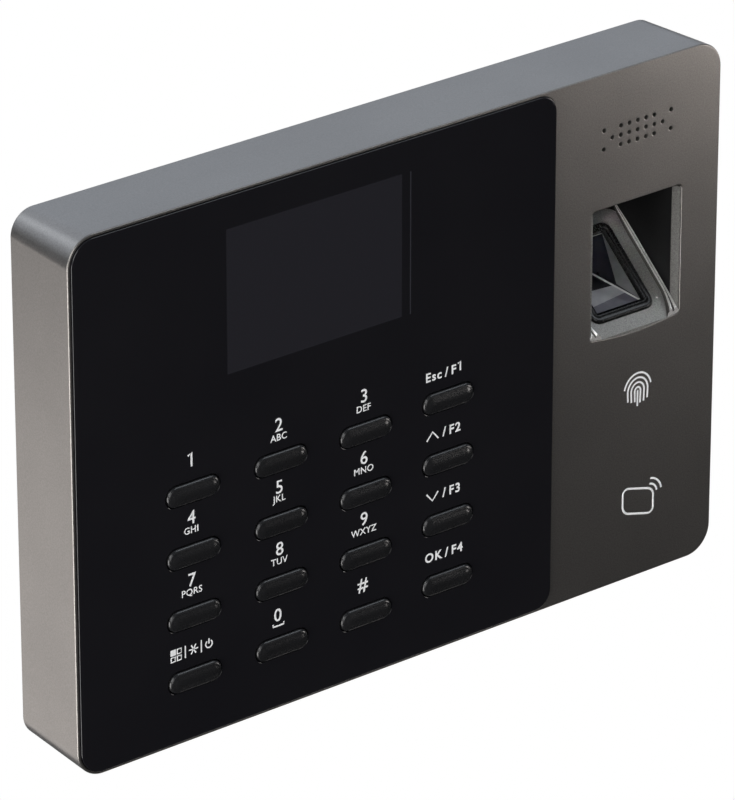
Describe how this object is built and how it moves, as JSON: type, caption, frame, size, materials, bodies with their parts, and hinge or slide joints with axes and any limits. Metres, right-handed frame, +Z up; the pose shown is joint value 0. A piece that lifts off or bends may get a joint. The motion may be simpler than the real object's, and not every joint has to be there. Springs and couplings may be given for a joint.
{
  "type": "fingerprint scanner terminal",
  "caption": "Flat wall terminal with a glossy display and keypad panel, a slanted fingerprint reader in a finger window, a speaker grille and a hook-on wall plate.",
  "frame": {"origin": "middle of the wall plate's back face, which lies on the wall", "axes": "+Z up, +X to the viewer's right, the front faces -Y and +Y goes into the wall"},
  "size_m": [0.187, 0.0364, 0.132],
  "materials": {
    "housing_paint": "fine warm-grey metallic paint on moulded plastic, satin",
    "panel_gloss": "smoked black acrylic, polished",
    "display_glass": "dark display glass behind the panel",
    "metal_shell": "tinned sheet steel",
    "foam": "black foam tape",
    "flex": "amber polyimide film",
    "silicone": "grey silicone sheet",
    "circuit_board": "green solder mask on glass-epoxy board",
    "screw_steel": "nickel-plated steel",
    "black_plastic": "black moulded plastic, fine spark texture",
    "green_plastic": "green moulded plastic",
    "reader_silver": "silver-grey satin paint with a fine grain",
    "reader_rubber": "soft black rubber",
    "reader_glass": "clear polished prism glass",
    "lens_barrel": "black lens barrel",
    "plate_steel": "zinc-plated pressed steel",
    "key_plastic": "black plastic, satin top"
  },
  "bodies": {
    "wall_bracket": {"wall_plate": "plate_steel"},
    "terminal": {"backup_battery": "screw_steel", "board_screw_1": "screw_steel", "board_screw_2": "screw_steel", "board_screw_3": "screw_steel", "board_screw_4": "screw_steel", "buzzer": "black_plastic", "card_antenna": "circuit_board", "display_cable": "flex", "display_frame": "metal_shell", "display_gasket": "foam", "display_glass": "display_glass", "finger_well": "black_plastic", "front_housing": "housing_paint", "front_panel": "panel_gloss", "key_board": "circuit_board", "keypad_mat": "silicone", "main_board": "circuit_board", "network_jack": "metal_shell", "power_jack": "black_plastic", "processor_shield": "metal_shell", "rear_cover": "black_plastic", "rear_screw_1": "screw_steel", "rear_screw_2": "screw_steel", "rear_screw_3": "screw_steel", "rear_screw_4": "screw_steel", "rear_screw_5": "screw_steel", "rear_screw_6": "screw_steel", "sensor_bezel": "reader_silver", "sensor_board": "circuit_board", "sensor_cable": "flex", "sensor_gasket": "reader_rubber", "sensor_housing": "black_plastic", "sensor_lens": "lens_barrel", "sensor_prism": "reader_glass", "speaker": "black_plastic", "speaker_gasket": "foam", "terminal_block": "green_plastic", "usb_port": "metal_shell", "usb_tongue": "black_plastic"},
    "key_1": {"key_1": "key_plastic"},
    "key_4": {"key_4": "key_plastic"},
    "key_7": {"key_7": "key_plastic"},
    "key_menu": {"key_menu": "key_plastic"},
    "key_2": {"key_2": "key_plastic"},
    "key_5": {"key_5": "key_plastic"},
    "key_8": {"key_8": "key_plastic"},
    "key_0": {"key_0": "key_plastic"},
    "key_3": {"key_3": "key_plastic"},
    "key_6": {"key_6": "key_plastic"},
    "key_9": {"key_9": "key_plastic"},
    "key_hash": {"key_hash": "key_plastic"},
    "key_f1": {"key_f1": "key_plastic"},
    "key_f2": {"key_f2": "key_plastic"},
    "key_f3": {"key_f3": "key_plastic"},
    "key_f4": {"key_f4": "key_plastic"}
  },
  "joints": [
    {"name": "terminal_lift", "type": "slide", "parent": "wall_bracket", "child": "terminal", "axis": [0, 0, 1], "range_m": [0, 0.0045]},
    {"name": "key_1_press", "type": "slide", "parent": "terminal", "child": "key_1", "axis": [0, 1, 0], "range_m": [0, 0.0009], "stiffness_N_per_m": 900},
    {"name": "key_4_press", "type": "slide", "parent": "terminal", "child": "key_4", "axis": [0, 1, 0], "range_m": [0, 0.0009], "stiffness_N_per_m": 900},
    {"name": "key_7_press", "type": "slide", "parent": "terminal", "child": "key_7", "axis": [0, 1, 0], "range_m": [0, 0.0009], "stiffness_N_per_m": 900},
    {"name": "key_menu_press", "type": "slide", "parent": "terminal", "child": "key_menu", "axis": [0, 1, 0], "range_m": [0, 0.0009], "stiffness_N_per_m": 900},
    {"name": "key_2_press", "type": "slide", "parent": "terminal", "child": "key_2", "axis": [0, 1, 0], "range_m": [0, 0.0009], "stiffness_N_per_m": 900},
    {"name": "key_5_press", "type": "slide", "parent": "terminal", "child": "key_5", "axis": [0, 1, 0], "range_m": [0, 0.0009], "stiffness_N_per_m": 900},
    {"name": "key_8_press", "type": "slide", "parent": "terminal", "child": "key_8", "axis": [0, 1, 0], "range_m": [0, 0.0009], "stiffness_N_per_m": 900},
    {"name": "key_0_press", "type": "slide", "parent": "terminal", "child": "key_0", "axis": [0, 1, 0], "range_m": [0, 0.0009], "stiffness_N_per_m": 900},
    {"name": "key_3_press", "type": "slide", "parent": "terminal", "child": "key_3", "axis": [0, 1, 0], "range_m": [0, 0.0009], "stiffness_N_per_m": 900},
    {"name": "key_6_press", "type": "slide", "parent": "terminal", "child": "key_6", "axis": [0, 1, 0], "range_m": [0, 0.0009], "stiffness_N_per_m": 900},
    {"name": "key_9_press", "type": "slide", "parent": "terminal", "child": "key_9", "axis": [0, 1, 0], "range_m": [0, 0.0009], "stiffness_N_per_m": 900},
    {"name": "key_hash_press", "type": "slide", "parent": "terminal", "child": "key_hash", "axis": [0, 1, 0], "range_m": [0, 0.0009], "stiffness_N_per_m": 900},
    {"name": "key_f1_press", "type": "slide", "parent": "terminal", "child": "key_f1", "axis": [0, 1, 0], "range_m": [0, 0.0009], "stiffness_N_per_m": 900},
    {"name": "key_f2_press", "type": "slide", "parent": "terminal", "child": "key_f2", "axis": [0, 1, 0], "range_m": [0, 0.0009], "stiffness_N_per_m": 900},
    {"name": "key_f3_press", "type": "slide", "parent": "terminal", "child": "key_f3", "axis": [0, 1, 0], "range_m": [0, 0.0009], "stiffness_N_per_m": 900},
    {"name": "key_f4_press", "type": "slide", "parent": "terminal", "child": "key_f4", "axis": [0, 1, 0], "range_m": [0, 0.0009], "stiffness_N_per_m": 900}
  ]
}
